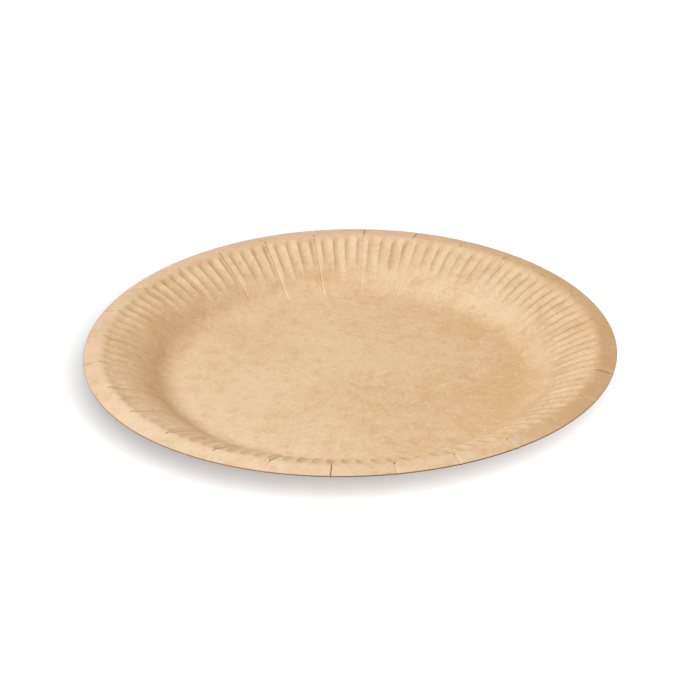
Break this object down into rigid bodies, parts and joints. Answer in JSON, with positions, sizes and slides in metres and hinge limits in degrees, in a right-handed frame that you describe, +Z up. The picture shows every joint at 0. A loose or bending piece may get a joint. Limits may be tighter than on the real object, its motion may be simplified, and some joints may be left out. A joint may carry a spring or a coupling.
{
  "type": "paper plate",
  "caption": "Round disposable plate pressed from brown paperboard, with a flat base, a pleated and fluted wall and a plain narrow rim.",
  "frame": {"origin": "centre of the underside of the flat base, on the surface that the plate stands on", "axes": "+Z up out of the dish, +X to the right and +Y away from the viewer in the picture"},
  "size_m": [0.23, 0.23, 0.0178],
  "materials": {
    "kraft_board": "matte"
  },
  "bodies": {
    "root": {"plate": "kraft_board"}
  },
  "joints": []
}
